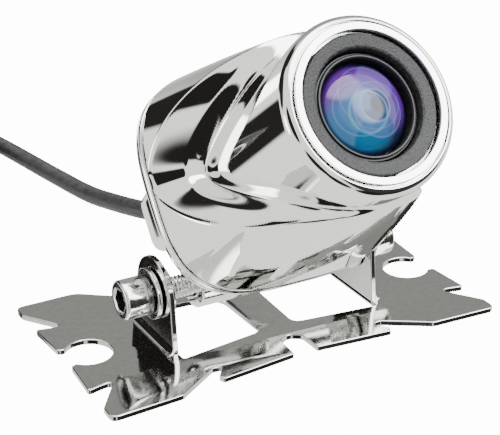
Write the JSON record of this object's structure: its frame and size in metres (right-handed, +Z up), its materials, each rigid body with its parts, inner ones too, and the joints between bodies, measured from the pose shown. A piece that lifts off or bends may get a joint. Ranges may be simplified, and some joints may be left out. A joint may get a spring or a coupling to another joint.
{
  "type": "backup camera",
  "caption": "Chrome backup camera head tilting between the ears of a stamped butterfly bracket, with a coiled cable and round waterproof plug.",
  "frame": {"origin": "middle of the bracket's bridge strip, on the underside that rests on the mounting surface", "axes": "+X along the bracket's long axis and the tilt pivot, -Y the way the lens faces, +Z up from the mounting surface"},
  "size_m": [0.1098, 0.1661, 0.0616],
  "materials": {
    "chrome": "mirror-bright plating",
    "polished_steel": "polished stamped stainless steel",
    "fastener_steel": "bright stainless steel",
    "spring_steel": "dark oiled spring steel",
    "textured_trim": "dark grey, fine moulded texture",
    "black_anodised": "black anodised",
    "black_rubber": "matt black",
    "coated_glass": "blue and violet anti-reflection coating",
    "filter_glass": "pale cyan",
    "green_board": "green solder mask",
    "sensor_die": "dark, faintly iridescent",
    "white_nylon": "off-white nylon",
    "brass": "bright",
    "cable_jacket": "matt black PVC"
  },
  "bodies": {
    "base": {"bracket": "polished_steel", "cable": "cable_jacket", "cable_coil": "cable_jacket", "cable_tail": "cable_jacket", "plug_body": "black_rubber", "plug_seal": "white_nylon", "plug_pin_1": "brass", "plug_pin_2": "brass", "plug_pin_3": "brass", "plug_pin_4": "brass"},
    "head": {"housing": "chrome", "bezel_ring": "chrome", "trim_ring": "textured_trim", "front_seal": "black_rubber", "lens_barrel": "black_anodised", "front_element": "coated_glass", "spacer_ring": "black_anodised", "second_element": "coated_glass", "aperture_disc": "black_anodised", "rear_element": "coated_glass", "lens_holder": "black_anodised", "ir_cut_filter": "filter_glass", "image_sensor": "sensor_die", "sensor_board": "green_board", "board_post_1": "brass", "board_post_2": "brass", "board_post_3": "brass", "video_board": "green_board", "board_screw_1": "fastener_steel", "board_screw_2": "fastener_steel", "board_screw_3": "fastener_steel", "cable_socket": "white_nylon", "rear_gasket": "black_rubber", "rear_cover": "chrome", "cover_screw_1": "fastener_steel", "cover_screw_2": "fastener_steel", "cover_screw_3": "fastener_steel", "cover_screw_4": "fastener_steel", "cable_gland": "black_rubber", "pivot_screw_left": "fastener_steel", "pivot_screw_right": "fastener_steel", "spring_washer_left": "spring_steel", "spring_washer_right": "spring_steel", "flat_washer_left": "fastener_steel", "flat_washer_right": "fastener_steel", "inner_washer_left": "fastener_steel", "inner_washer_right": "fastener_steel"}
  },
  "joints": [
    {"name": "tilt", "type": "hinge", "parent": "base", "child": "head", "pos_m": [0, -0.0009, 0.0096], "axis": [1, 0, 0], "range_deg": [-20, 35], "deforming": ["cable"]}
  ]
}
